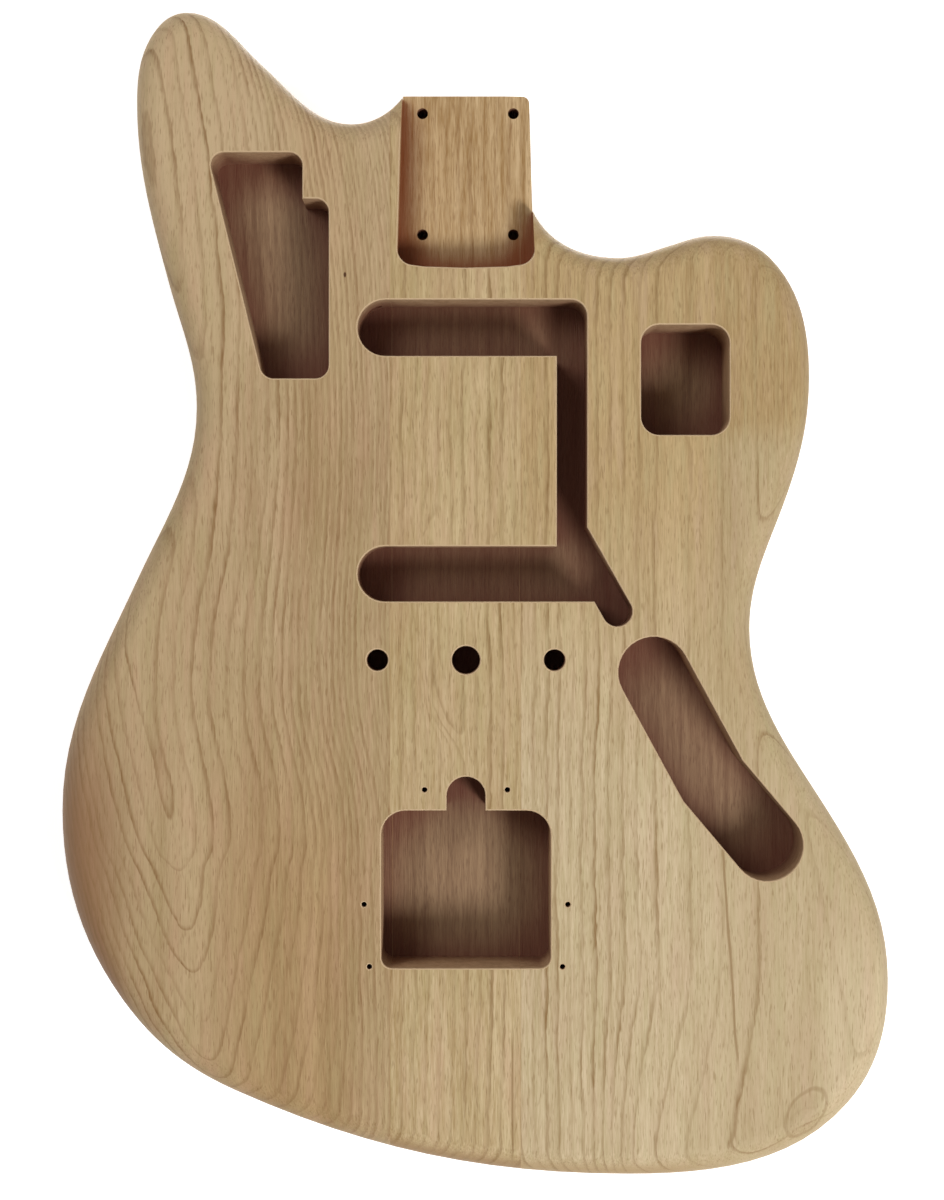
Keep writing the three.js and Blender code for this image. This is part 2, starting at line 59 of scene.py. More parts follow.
# Places on the edge as shares of the width and the length, with the edge's heading in degrees,
# clockwise from the top of the bass horn
outline_shares = [
    (-0.336, 0.557, 0),
    (-0.246, 0.512, -42),
    (-0.138, 0.461, 0),
    (-0.0765, 0.484, 52),
    (-0.005, 0.508, 0),
    (0.068, 0.455, -85),
    (0.0845, 0.381, -60),
    (0.183, 0.346, 0),
    (0.244, 0.356, 17),
    (0.299, 0.365, 0),
    (0.368, 0.345, -46),
    (0.414, 0.243, -90),
    (0.378, 0.124, -111),
    (0.342, 0.027, -90),
    (0.413, -0.104, -57),
    (0.509, -0.275, -90),
    (0.461, -0.381, -131),
    (0.196, -0.443, -180),
    (-0.278, -0.371, -204),
    (-0.415, -0.294, -233),
    (-0.491, -0.132, -270),
    (-0.396, 0.07, -295),
    (-0.325, 0.217, -270),
    (-0.359, 0.325, -255),
    (-0.397, 0.479, -270),
    (-0.373, 0.543, -308),
]
handle_share = 0.36
curve_steps = 12

# Arm contour on the front and belly contour on the back
arm_radius = 150 * mm
arm_crest = (Vector((-0.366 * width, 0.165 * length)), Vector((-0.321 * width, -0.43 * length)))
arm_reach = 62 * mm
belly_radius = 300 * mm
belly_tilt = radians(15)
belly_crest = Vector((-0.225 * width, 0.145 * length))
belly_half_span = 128 * mm
belly_reach = 96 * mm
belly_side = -60 * mm
contour_step = 3 * mm

# Neck pocket, the tab that carries it, and the screw holes through both
pocket_length = 71.8 * mm
pocket_floor = 28.5 * mm
pocket_heel_width = 57 * mm
pocket_end_width = 53 * mm
pocket_radius = 6.5 * mm
pocket_bulge = 2 * mm
pocket_overrun = 5 * mm
bulge_reach_share = 0.6
bulge_height_share = 0.75
tab_root = 14 * mm
tab_height = 30 * mm
tab_radius = 3 * mm
tab_back_radius = 2.5 * mm
tab_back_steps = 4
tab_gap = 0.04 * mm
screw_spread = (38.1 * mm, 50.8 * mm)
screw_from_end = 7.2 * mm
screw_shift = 0.8 * mm
screw_hole_width = 4.6 * mm
screw_hole_sides = 24

# Pickup route: two slots, the channel that joins them and its slanted tail
pickup_floor = 16.5 * mm
slot_left = -44.8 * mm
neck_slot = (125.7 * mm, 148.9 * mm)
neck_slot_radius = 11.5 * mm
bridge_slot = (24.2 * mm, 47 * mm)
bridge_slot_radius = 11.3 * mm
channel = (37.6 * mm, 50 * mm)
channel_radius = 6.8 * mm
tail_start = Vector((43.8 * mm, 53.2 * mm))
tail_angle = radians(-60.5)
tail_length = 38 * mm
tail_half = 6.2 * mm

# Switch route on the treble horn
switch_middle = Vector((0.262 * width, 0.239 * length))
switch_half_width = 18.25 * mm
switch_half_height = 22.75 * mm
switch_radius = 7.5 * mm
switch_floor = 9.5 * mm

# Upper route on the bass horn: wide at the horn, stepped, narrow at its foot
upper_right = -0.164 * width
upper_top = 0.433 * length
upper_height = 93.4 * mm
upper_top_width = 50.1 * mm
upper_foot_width = 27.2 * mm
upper_step_width = 10.9 * mm
upper_step_height = 19.1 * mm
upper_radius = 5.5 * mm
upper_floor = 15 * mm

# Lower control route: a wide bent slot along the treble waist
control_line = [
    Vector((0.2245 * width, -0.0105 * length)),
    Vector((0.295 * width, -0.103 * length)),
    Vector((0.36 * width, -0.158 * length)),
]
control_width = 29.4 * mm
control_floor = 11.5 * mm

# Tremolo route and the tab of its spring
tremolo_top = -62.2 * mm
tremolo_height = 65.1 * mm
tremolo_half_width = 35 * mm
tremolo_top_radius = 10 * mm
tremolo_foot_radius = 4.5 * mm
spring_tab_half_width = 8 * mm
spring_tab_height = 14 * mm
spring_tab_radius = 7.9 * mm
tremolo_floor = 9.5 * mm

# Bridge posts, the mute between them, and the pairs of pilot holes for the tremolo's plate, by spread and y
post_spread = 73.2 * mm
post_width = 8.8 * mm
post_floor = 14.5 * mm
post_sides = 32
mute_width = 11.6 * mm
mute_floor = 18.5 * mm
mute_sides = 40
pilot_pairs = [(34.2 * mm, -53.6 * mm), (84.2 * mm, -101 * mm), (79.8 * mm, -126.7 * mm)]
pilot_width = 2.2 * mm
pilot_floor = 30.5 * mm
pilot_sides = 16
pilot_mouth = 0.4 * mm

# Wire bores between the routes
bore_level = 22.5 * mm
wire_bore = 7 * mm
ground_bore = 4 * mm
bore_inset = 3.5 * mm
bore_sides = 24

# Cutters reach past what they cut, and the two arcs of a round end stop just short of each other.
# A mouth is the sanded round-over of a route or hole. Places nearer than the hair are the same place.
overrun = 6 * mm
mouth = 0.6 * mm
mouth_angles = [radians(angle) for angle in (0, 30, 60, 90)]
arc_steps = 8
round_end_gap = 0.1 * mm
nearly_all = 0.9995
hair = 0.001 * mm


def only(piece):
    bpy.ops.object.select_all(action="DESELECT")
    piece.select_set(True)
    bpy.context.view_layer.objects.active = piece


def edit(piece, kind="FACE", action="DESELECT"):
    only(piece)
    bpy.ops.object.mode_set(mode="EDIT")
    bpy.ops.mesh.select_mode(type=kind)
    bpy.ops.mesh.select_all(action=action)


def done():
    bpy.ops.object.mode_set(mode="OBJECT")


def pick(piece, elements, wanted):
    mesh = bmesh.from_edit_mesh(piece.data)
    for element in getattr(mesh, elements):
        element.select_set(False)
    for element in getattr(mesh, elements):
        if wanted(element):
            element.select_set(True)
    bmesh.update_edit_mesh(piece.data)


def levels(element):
    return [vertex.co.z for vertex in element.verts]


def lies_at(*heights):
    """The test that a whole edge or face lies at one of the heights"""

    def test(element):
        return any(all(abs(z - height) < hair for z in levels(element)) for height in heights)

    return test


def stands_at(place):
    """The test that a vertex is at the place"""

    def test(vertex):
        return (vertex.co - place).length < hair

    return test


def turn_outwards():
    bpy.ops.mesh.select_all(action="SELECT")
    bpy.ops.mesh.normals_make_consistent(inside=False)


def draw(height):
    """Draws what is selected up, or down where the height is negative"""
    bpy.ops.mesh.extrude_region_move(TRANSFORM_OT_translate={"value": (0, 0, height)})


def settled():
    """The piece just added, with its place moved into its mesh"""
    bpy.ops.object.transform_apply(location=True, rotation=True, scale=True)
    return bpy.context.object


def cut(piece, tool, operation="DIFFERENCE"):
    """Cuts the piece with the tool, which is used up"""
    only(piece)
    boolean = piece.modifiers.new("cut", "BOOLEAN")
    boolean.operation = operation
    boolean.solver = "EXACT"
    boolean.object = tool
    boolean.material_mode = "TRANSFER"
    bpy.ops.object.modifier_apply(modifier=boolean.name)
    bpy.data.objects.remove(tool)


def block(low, high):
    middle = (Vector(low) + Vector(high)) / 2
    bpy.ops.mesh.primitive_cube_add(size=1, location=middle, scale=Vector(high) - Vector(low))
    return settled()


# The blank


def edge_curve():
    bpy.ops.curve.primitive_bezier_circle_add()
    piece = bpy.context.object
    spline = piece.data.splines[0]
    spline.bezier_points.add(len(outline_shares) - len(spline.bezier_points))
    spline.resolution_u = curve_steps
    places = [Vector((x * width, y * length, 0)) for x, y, _ in outline_shares]
    for index, (point, place) in enumerate(zip(spline.bezier_points, places)):
        heading = radians(outline_shares[index][2])
        along = Vector((cos(heading), sin(heading), 0))
        before = places[index - 1]
        after = places[(index + 1) % len(places)]
        point.handle_left_type = point.handle_right_type = "FREE"
        point.co = place
        point.handle_left = place - along * handle_share * (place - before).length
        point.handle_right = place + along * handle_share * (after - place).length
    bpy.ops.object.convert(target="MESH")
    return bpy.context.object


def slice_across(piece, faces, starts, normal):
    for start in starts:
        edit(piece)
        pick(piece, "faces", faces)
        bpy.ops.mesh.bisect(plane_co=start, plane_no=normal, threshold=hair)
        done()


def arc_drop(distance, radius):
    """How far an arc has fallen at a distance from its crest"""
    return radius - sqrt(radius * radius - min(distance, radius) ** 2)


arm_along = (arm_crest[1] - arm_crest[0]).normalized()
arm_outward = Vector((arm_along.y, -arm_along.x))


def arm_depth(place):
    from_crest = place - arm_crest[0]
    beyond = from_crest.dot(arm_outward)
    along = from_crest.dot(arm_along)
    if beyond <= 0 or along < 0:
        return 0
    return arc_drop(beyond, arm_radius)


def belly_depth(place):
    climb = (belly_crest.x - place.x) * tan(belly_tilt)
    return max(0, climb - arc_drop(abs(place.y - belly_crest.y), belly_radius) / cos(belly_tilt))


def on_front(face):
    return min(levels(face)) > thickness / 2


def on_back(face):
    return max(levels(face)) < thickness / 2


def on_belly(face):
    return on_back(face) and face.calc_center_median().x < belly_side


def press_contours(piece):
    """Slices both contours finely, then presses each point to its depth"""
    outward = Vector((arm_outward.x, arm_outward.y, 0))
    crest = Vector((arm_crest[0].x, arm_crest[0].y, thickness))
    steps = range(int(arm_reach / contour_step))
    slice_across(piece, on_front, [crest + outward * contour_step * step for step in steps], outward)
    steps = range(int(belly_reach / contour_step))
    starts = [Vector((belly_crest.x - contour_step * step, 0, 0)) for step in steps]
    slice_across(piece, on_back, starts, Vector((1, 0, 0)))
    lowest = belly_crest.y - belly_half_span
    steps = range(int(belly_half_span / contour_step) + 1)
    starts = [Vector((0, lowest + 2 * contour_step * step, 0)) for step in steps]
    slice_across(piece, on_belly, starts, Vector((0, 1, 0)))
    for vertex in piece.data.vertices:
        place = vertex.co.xy
        if vertex.co.z > thickness / 2:
            vertex.co.z -= arm_depth(place)
        else:
            vertex.co.z += belly_depth(place)


def blank():
    piece = edge_curve()
    edit(piece, "EDGE", "SELECT")
    bpy.ops.mesh.edge_face_add()
    draw(thickness)
    turn_outwards()
    bpy.ops.mesh.select_mode(type="EDGE")
    pick(piece, "edges", lies_at(0, thickness))
    bpy.ops.mesh.bevel(offset=edge_radius, segments=edge_steps, profile=0.5, clamp_overlap=False)
    done()
    press_contours(piece)
    return piece


# Tools that cut the routes. A corner is its x, its y and its radius.


def widened(places, margin):
    """The same outline moved out by a margin on every side; the places run counterclockwise"""
    moved = []
    for index, place in enumerate(places):
        before = places[index - 1]
        after = places[(index + 1) % len(places)]
        into = (place - before).normalized()
        out = (after - place).normalized()
        first = Vector((into.y, -into.x))
        second = Vector((out.y, -out.x))
        bisector = (first + second).normalized()
        moved.append(place + bisector * margin / bisector.dot(first))
    return moved


def plan(corners, margin, level):
    """A flat outline with round corners"""
    places = widened([Vector((x, y)) for x, y, _ in corners], margin)
    bpy.ops.mesh.primitive_circle_add(vertices=len(places), radius=1, fill_type="NGON")
    piece = bpy.context.object
    for vertex, place in zip(piece.data.vertices, places):
        vertex.co = (place.x, place.y, level)
    for index, (_, _, radius) in enumerate(corners):
        if not radius:
            continue
        place = places[index]
        back = (places[index - 1] - place).normalized()
        onward = (places[(index + 1) % len(places)] - place).normalized()
        reach = (radius + margin) / tan(back.angle(onward) / 2) * nearly_all
        edit(piece, "VERT")
        pick(piece, "verts", stands_at(Vector((place.x, place.y, level))))
        bpy.ops.mesh.bevel(
            offset=reach, segments=arc_steps, profile=0.5, affect="VERTICES", clamp_overlap=False
        )
        done()
    return piece


def sink(piece, floor, rim):
    """Draws the tool up past the face, rounds its mouth and takes it down to its floor"""
    edit(piece, "FACE", "SELECT")
    draw(overrun)
    turn_outwards()
    pick(piece, "faces", lies_at(thickness))
    for before, after in zip(mouth_angles, mouth_angles[1:]):
        inward = rim * (sin(after) - sin(before))
        down = rim * (cos(before) - cos(after))
        bpy.ops.mesh.inset(thickness=inward, depth=down)
    draw(floor - thickness + rim)
    turn_outwards()
    done()
    return piece


def route(corners, floor):
    return sink(plan(corners, mouth, thickness), floor, mouth)


def hole(x, y, across, floor, sides, rim=mouth):
    bpy.ops.mesh.primitive_circle_add(
        vertices=sides, radius=across / 2 + rim, fill_type="NGON", location=(x, y, thickness)
    )
    return sink(settled(), floor, rim)


def bore(start, end, across):
    """A wire bore that runs level through the wood"""
    span = end - start
    middle = (start + end) / 2
    bpy.ops.mesh.primitive_cylinder_add(
        vertices=bore_sides,
        radius=across / 2,
        depth=span.length,
        location=(middle.x, middle.y, bore_level),
        rotation=(pi / 2, 0, atan2(span.y, span.x) - pi / 2),
    )
    return settled()


pocket_heel = neck_end - pocket_length


def pocket_half(distance):
    """Half the pocket's width at a distance from its heel"""
    return (pocket_heel_width - (pocket_heel_width - pocket_end_width) * distance / pocket_length) / 2


def heel_tab():
    """The tab under the pocket, left a little tall for the pocket to trim"""
    root_half = pocket_half(-tab_root) - tab_gap
    end_half = pocket_half(pocket_length) - tab_gap
    root = pocket_heel - tab_root
    end = neck_end - tab_gap
    corners = [(-root_half, root, 0), (root_half, root, 0), (end_half, end, tab_radius), (-end_half, end, 0)]
    piece = plan(corners, 0, 0)
    edit(piece, "FACE", "SELECT")
    draw(tab_height)
    turn_outwards()
    bpy.ops.mesh.select_mode(type="EDGE")
    pick(piece, "edges", lies_at(0))
    bpy.ops.mesh.bevel(offset=tab_back_radius, segments=tab_back_steps, profile=0.5, clamp_overlap=False)
    done()
    return piece


def neck_pocket():
    far = pocket_length + pocket_overrun
    heel_half = pocket_heel_width / 2
    bulge_half = heel_half * bulge_reach_share
    bulge = pocket_heel - pocket_bulge * bulge_height_share
    corners = [
        (-heel_half, pocket_heel, pocket_radius),
        (-bulge_half, bulge, 0),
        (0, pocket_heel - pocket_bulge, 0),
        (bulge_half, bulge, 0),
        (heel_half, pocket_heel, pocket_radius),
        (pocket_half(far), pocket_heel + far, 0),
        (-pocket_half(far), pocket_heel + far, 0),
    ]
    return route(corners, pocket_floor)


def along_line(points, breadth):
    """Corners of a slot of one breadth along a bent line, round at both ends"""
    radius = breadth / 2
    runs = [(after - before).normalized() for before, after in zip(points, points[1:])]
    lefts = [Vector((-run.y, run.x)) for run in runs]
    sides = []
    for sign in (-1, 1):
        side = [points[0] - runs[0] * radius + lefts[0] * radius * sign]
        for point, before, after in zip(points[1:-1], lefts, lefts[1:]):
            meet = (before + after).normalized()
            side.append(point + meet * sign * radius / meet.dot(before))
        side.append(points[-1] + runs[-1] * radius + lefts[-1] * radius * sign)
        rounds = [radius - round_end_gap] + [0] * (len(points) - 2) + [radius - round_end_gap]
        sides.append([(place.x, place.y, rounding) for place, rounding in zip(side, rounds)])
    return sides[0] + sides[1][::-1]


tail_along = Vector((cos(tail_angle), sin(tail_angle)))
tail_end = tail_start + tail_along * tail_length


def pickup_route():
    """Both pickup slots, the channel that joins them and its slanted tail, cut as one"""
    along = tail_along * tail_half
    across = Vector((-along.y, along.x))
    inner_wall = tail_start - across
    outer_wall = tail_start + across
    inner_start = inner_wall.x + (bridge_slot[0] - inner_wall.y) / tan(tail_angle)
    outer_start = outer_wall.y + (channel[1] - outer_wall.x) * tan(tail_angle)
    inner_corner = tail_end + along - across
    outer_corner = tail_end + along + across
    corners = [
        (slot_left, bridge_slot[0], bridge_slot_radius),
        (inner_start, bridge_slot[0], 0),
        (inner_corner.x, inner_corner.y, tail_half - round_end_gap),
        (outer_corner.x, outer_corner.y, tail_half - round_end_gap),
        (channel[1], outer_start, 0),
        (channel[1], neck_slot[1], channel_radius),
        (slot_left, neck_slot[1], neck_slot_radius),
        (slot_left, neck_slot[0], neck_slot_radius),
        (channel[0], neck_slot[0], 0),
        (channel[0], bridge_slot[1], 0),
        (slot_left, bridge_slot[1], bridge_slot_radius),
    ]
    return route(corners, pickup_floor)


def switch_route():
    left = switch_middle.x - switch_half_width
    right = switch_middle.x + switch_half_width
    foot = switch_middle.y - switch_half_height
    top = switch_middle.y + switch_half_height
    places = [(left, foot), (right, foot), (right, top), (left, top)]
    return route([(x, y, switch_radius) for x, y in places], switch_floor)


def upper_route():
    foot = upper_top - upper_height
    step = upper_top - upper_step_height
    corners = [
        (upper_right - upper_foot_width, foot, upper_radius),
        (upper_right, foot, upper_radius),
        (upper_right, step, upper_radius),
        (upper_right - upper_step_width, step, 0),
        (upper_right - upper_step_width, upper_top, upper_radius),
        (upper_right - upper_top_width, upper_top, upper_radius),
    ]
    return route(corners, upper_floor)


def control_route():
    return route(along_line(control_line, control_width), control_floor)


def tremolo_route():
    foot = tremolo_top - tremolo_height
    tab_top = tremolo_top + spring_tab_height
    corners = [
        (-tremolo_half_width, foot, tremolo_foot_radius),
        (tremolo_half_width, foot, tremolo_foot_radius),
        (tremolo_half_width, tremolo_top, tremolo_top_radius),
        (spring_tab_half_width, tremolo_top, 0),
        (spring_tab_half_width, tab_top, spring_tab_radius),
        (-spring_tab_half_width, tab_top, spring_tab_radius),
        (-spring_tab_half_width, tremolo_top, 0),
        (-tremolo_half_width, tremolo_top, tremolo_top_radius),
    ]
    return route(corners, tremolo_floor)


def face_holes():
    posts = [hole(side * post_spread / 2, 0, post_width, post_floor, post_sides) for side in (-1, 1)]
    mute = hole(0, 0, mute_width, mute_floor, mute_sides)
    pilots = [
        hole(side * spread / 2, y, pilot_width, pilot_floor, pilot_sides, pilot_mouth)
        for spread, y in pilot_pairs
        for side in (-1, 1)
    ]
    return posts + [mute] + pilots


def screw_hole(x, y):
    bpy.ops.mesh.primitive_cylinder_add(
        vertices=screw_hole_sides,
        radius=screw_hole_width / 2,
        depth=2 * thickness,
        location=(x, y, thickness / 2),
    )
    return settled()


def screw_holes():
    half = screw_spread[0] / 2
    top = neck_end - screw_from_end
    return [screw_hole(x + screw_shift, y) for x in (-half, half) for y in (top, top - screw_spread[1])]


def wire_bores():
    upper_step = Vector((upper_right - bore_inset, upper_top - upper_step_height - bore_inset))
    neck_slot_end = Vector((slot_left + (neck_slot[1] - neck_slot[0]) / 2, sum(neck_slot) / 2))
    channel_wall = Vector((sum(channel) / 2, switch_middle.y))
    tremolo_middle = Vector((0, tremolo_top - tremolo_height / 2))
    return [
        bore(upper_step, neck_slot_end, wire_bore),
        bore(channel_wall, switch_middle, wire_bore),
        bore(tail_end, control_line[0], wire_bore),
        bore(control_line[1], tremolo_middle, ground_bore),
    ]


def joined(pieces):
    only(pieces[0])
    for piece in pieces:
        piece.select_set(True)
    bpy.ops.object.join()
    return bpy.context.object


def mark(piece, surface):
    """Marks what kind of surface the piece has, or leaves where it cuts"""
    if surface not in bpy.data.materials:
        bpy.data.materials.new(surface)
    piece.data.materials.append(bpy.data.materials[surface])


def past_neck_end():
    return block((horn_gap[0], neck_end, -overrun), (horn_gap[1], length, thickness + overrun))


def routed_body():
    body = blank()
    cut(body, past_neck_end())
    cut(body, heel_tab(), "UNION")
    mark(body, "sanded")
    routes = [switch_route(), upper_route(), control_route(), pickup_route(), tremolo_route()]
    steps = [("pocket", [neck_pocket()]), ("routed", routes + face_holes())]
    steps += [("routed", screw_holes()), ("routed", wire_bores())]
    for surface, tools in steps:
        tool = joined(tools)
        mark(tool, surface)
        cut(body, tool)
    return body


# Boards and the glue between them. Edges that turn less than this angle look smooth.

smooth_angle = radians(32)


def slice_of(body, name, left, right):
    piece = body.copy()
    piece.data = body.data.copy()
    piece.name = piece.data.name = name
    bpy.context.collection.objects.link(piece)
    slab = block((left, -length, -overrun), (right, length, thickness + overrun))
    cut(piece, slab, "INTERSECT")
    only(piece)
    bpy.ops.object.shade_smooth_by_angle(angle=smooth_angle)
    weighted = piece.modifiers.new("even shading of the flat faces", "WEIGHTED_NORMAL")
    weighted.keep_sharp = True
    weighted.weight = 100
    bpy.ops.object.modifier_apply(modifier=weighted.name)
    return piece


# Shading. A noise is moved by its seed times these steps along x, y and z, so that no two look alike.

seed_steps = (7.3, 3.1, 5.7)


class Field:
    """A number, colour or direction that varies over a surface"""

    def __init__(self, finish, socket):
        self.finish = finish
        self.socket = socket

    def reckon(self, operation, *others):
        return self.finish.node("ShaderNodeMath", {"operation": operation}, dict(enumerate([self, *others])))

    def __add__(self, other):
        return self.reckon("ADD", other)

    __radd__ = __add__

    def __sub__(self, other):
        return self.reckon("SUBTRACT", other)

    def __rsub__(self, other):
        return self * -1 + other

    def __mul__(self, other):
        return self.reckon("MULTIPLY", other)

    __rmul__ = __mul__

    def __truediv__(self, other):
        return self.reckon("DIVIDE", other)

    def __pow__(self, other):
        return self.reckon("POWER", other)

    def __abs__(self):
        return self.reckon("ABSOLUTE")

    def at_least(self, other):
        return self.reckon("MAXIMUM", other)

    def at_most(self, other):
        return self.reckon("MINIMUM", other)

    def nearest_whole(self):
        return self.reckon("ROUND")

    def exponential(self):
        return self.reckon("EXPONENT")


class Finish:
    """One material; x, y and z are places on the object in millimetres"""

    def __init__(self, name):
        self.material = bpy.data.materials.new(name)
        self.material.use_nodes = True
        self.tree = self.material.node_tree
        self.shader = self.tree.nodes["Principled BSDF"]
        place = self.node("ShaderNodeTexCoord", output="Object")
        self.x = self.part_of(place, "X") / mm
        self.y = self.part_of(place, "Y") / mm
        self.z = self.part_of(place, "Z") / mm

    def node(self, kind, settings={}, inputs={}, output=0):
        node = self.tree.nodes.new(kind)
        for name, value in settings.items():
            setattr(node, name, value)
        for name, value in inputs.items():
            if isinstance(value, Field):
                self.tree.links.new(value.socket, node.inputs[name])
            else:
                node.inputs[name].default_value = value
        return Field(self, node.outputs[output])

    def part_of(self, vector, axis):
        return self.node("ShaderNodeSeparateXYZ", inputs={0: vector}, output=axis)

    def noise(self, size, seed=0, detail=2.0, roughness=0.5):
        """From about -1 to 1, in blotches of the given size in millimetres along each axis"""
        x = self.x / size[0] + seed * seed_steps[0]
        y = self.y / size[1] + seed * seed_steps[1]
        z = self.z / size[2] + seed * seed_steps[2]
        place = self.node("ShaderNodeCombineXYZ", inputs={0: x, 1: y, 2: z})
        value = self.node(
            "ShaderNodeTexNoise",
            inputs={"Vector": place, "Scale": 1.0, "Detail": detail, "Roughness": roughness},
            output="Fac",
        )
        return value * 4 - 2

    def chance(self, number):
        """A random share from 0 to 1 for each whole number"""
        return self.node("ShaderNodeTexWhiteNoise", {"noise_dimensions": "1D"}, {"W": number}, output="Value")

    def facing_up(self):
        """1 where the surface faces the front of the body, 0 where it stands upright"""
        return self.part_of(self.node("ShaderNodeTexCoord", output="Normal"), "Z")

    def rise(self, value, low, high):
        """0 below low, 1 above high, and a smooth rise between them"""
        return self.node(
            "ShaderNodeMapRange",
            {"interpolation_type": "SMOOTHSTEP"},
            {"Value": value, "From Min": low, "From Max": high, "To Min": 0.0, "To Max": 1.0},
        )

    def fall(self, value, low, high):
        """1 below low, 0 above high, and a smooth fall between them"""
        return 1 - self.rise(value, low, high)

    def curve(self, value, points):
        """A smooth curve through the given points"""
        left, right = points[0][0], points[-1][0]
        low = min(height for _, height in points)
        high = max(height for _, height in points)
        shares = [((at - left) / (right - left), (height - low) / (high - low)) for at, height in points]
        result = self.node("ShaderNodeFloatCurve", inputs={"Value": (value - left) / (right - left)})
        mapping = result.socket.node.mapping
        line = mapping.curves[0]
        line.points[0].location = shares[0]
        line.points[1].location = shares[-1]
        for share in shares[1:-1]:
            line.points.new(*share)
        mapping.update()
        return result * (high - low) + low

    def mix(self, share, one, other):
        return self.node("ShaderNodeMix", {"data_type": "RGBA"}, {0: share, 6: one, 7: other}, output=2)

    def feed(self, socket, value):
        if isinstance(value, Field):
            self.tree.links.new(value.socket, self.shader.inputs[socket])
        else:
            self.shader.inputs[socket].default_value = value

    def bump(self, height, depth):
        self.feed("Normal", self.node("ShaderNodeBump", inputs={"Height": height, "Distance": depth}))


def linear(value):
    """A tone from 0 to 255, as it is seen on a screen, made linear"""
    share = value / 255
    return share / 12.92 if share < 0.04 else ((share + 0.055) / 1.055) ** 2.4


def colour(red, green, blue):
    return (linear(red), linear(green), linear(blue), 1.0)


# Growth rings, in millimetres. Each board has its own field of ring numbers, and a ring's dark line lies on
# each whole number. A field gives its number, how fast that changes for each millimetre across, how dark
# its lines are, and any other dark marks.

ring_slant = 0.15
least_steepness = 0.045
bass_heart = [
    (-220, -98), (-182, -104), (-120, -114), (-58, -124), (4, -134.5),
    (66, -134), (128, -135.5), (252, -154), (280, -160),
]
bass_climb = [
    (-220, 8), (-167, 5), (-149.5, 4), (-129, 3), (-111.5, 2), (-87, 1), (-74, 0.2),
    (-58, -0.08), (-35, -0.08), (0, -0.45), (50, -1.6), (128, -2.3), (280, -3.3),
]
bass_shape = [
    (-82, 24), (-62, 15), (-46.5, 9.5), (-33, 5), (-20.5, 2.5), (-11, 1.05), (-5, 0.25), (0, 0), (5, 0.25),
    (11, 1.05), (20.5, 2.4), (37, 4.7), (54, 7.5), (70, 12.2), (87, 18.8), (103, 26.5), (124, 36.5),
]
centre_ridge = [(-50, 2), (-38, -2), (-12, -12.8), (16, -14.4), (90, -14.8)]
treble_shape = [
    (10, -2.5), (20, -0.4), (28.5, 1), (38.8, 3), (49.2, 5), (60.3, 7), (71.9, 9),
    (79.3, 10), (92.5, 11), (105.8, 12), (121.4, 13), (147, 14), (190, 15.6),
]


def below_face(finish):
    """How far a point lies under the front face"""
    return thickness / mm - finish.z


def spot(finish, x, y, width, height, lean=0.0):
    """How far off the middle of an oval each point lies; 1 on the oval"""
    across = (finish.x - x - (finish.y - y) * lean) / width
    along = (finish.y - y) / height
    return (across**2 + along**2) ** 0.5


def stroke(finish, x, lean, top, foot, width):
    """A single dark line along the grain; lean is how far it moves sideways for each step down"""
    off = abs(finish.x - x - (top - finish.y) * lean + finish.noise((4, 16, 4), 61, 1.0) * 0.3)
    fade = 6
    ends = finish.rise(finish.y, foot - fade, foot + fade) * finish.fall(finish.y, top - fade, top + fade)
    return finish.fall(off, width * 0.2, width) * ends


def wander(finish, seed):
    """How far the figure strays sideways from a clean line"""
    drift = finish.noise((60, 70, 60), seed, 1.0) * 1.5
    waves = finish.noise((8, 20, 8), seed + 1, 2.0) * 0.6
    return drift + waves + finish.noise((1.1, 6, 1.1), seed + 2, 1.0) * 0.35


def bass_rings(finish):
    """Loops that point to the tail in the lower bout, and lines that crowd towards the joint"""
    calm = finish.rise(finish.x, -95, -45)
    x = finish.x + wander(finish, 1) * (1 - calm * 0.55) - finish.curve(finish.y, bass_heart)
    across = finish.curve(x, bass_shape)
    steepness = abs(finish.curve(x + 1, bass_shape) - across).at_least(least_steepness)
    rings = across + finish.curve(finish.y, bass_climb) + below_face(finish) * ring_slant
    return rings, steepness, 1 - calm * 0.3, 0.0


def centre_rings(finish):
    """Nearly straight lines, with a narrow tongue that points to the tail above the tremolo route"""
    x = finish.x + wander(finish, 4)
    offset = (x - finish.curve(finish.y, centre_ridge)) / 4
    tongue = 2.5 * finish.rise(finish.y, -46, -16) * finish.fall(finish.y, 30, 75)
    hump = tongue * (offset * offset * -1).exponential()
    seam = stroke(finish, 19.2, 0.0, -155, -206, 0.7)
    return x / 5.2 + hump + below_face(finish) * ring_slant, 0.19, 0.95, seam * 0.8


def treble_eye(finish):
    """The oval eye at the lower right, with a smaller one inside it"""
    oval = spot(finish, 140.5, -187, 7.6, 9.9, 0.4) + finish.noise((6, 6, 6), 62, 1.0) * 0.04
    inner = spot(finish, 139.5, -190, 5.5, 5.0, 0.5)
    eye = finish.fall(abs(oval - 1), 0.03, 0.14) * 0.5 + finish.fall(oval, 0.7, 1.0) * 0.16
    return eye.at_least(finish.fall(abs(inner - 1), 0.05, 0.25) * 0.25)


def treble_rings(finish):
    """Straight lines near the joint that open out and lean over towards the far edge"""
    lean = (finish.y + 99).at_most(80) * 0.22 * finish.rise(finish.x, 116, 146)
    foot = 16 * finish.fall(finish.y, -225, -120) * finish.rise(finish.x, 45, 85)
    x = finish.x + wander(finish, 7) + lean + foot * finish.fall(finish.x, 92, 155)
    across = finish.curve(x, treble_shape)
    steepness = abs(finish.curve(x + 1, treble_shape) - across).at_least(least_steepness)
    marks = treble_eye(finish).at_least(stroke(finish, 106, 0.068, -76, -166, 0.9) * 0.8)
    darkness = 0.95 - finish.rise(finish.x, 100, 130) * 0.2 - finish.rise(finish.x, 140, 155) * 0.35
    return across - below_face(finish) * ring_slant, steepness, darkness, marks


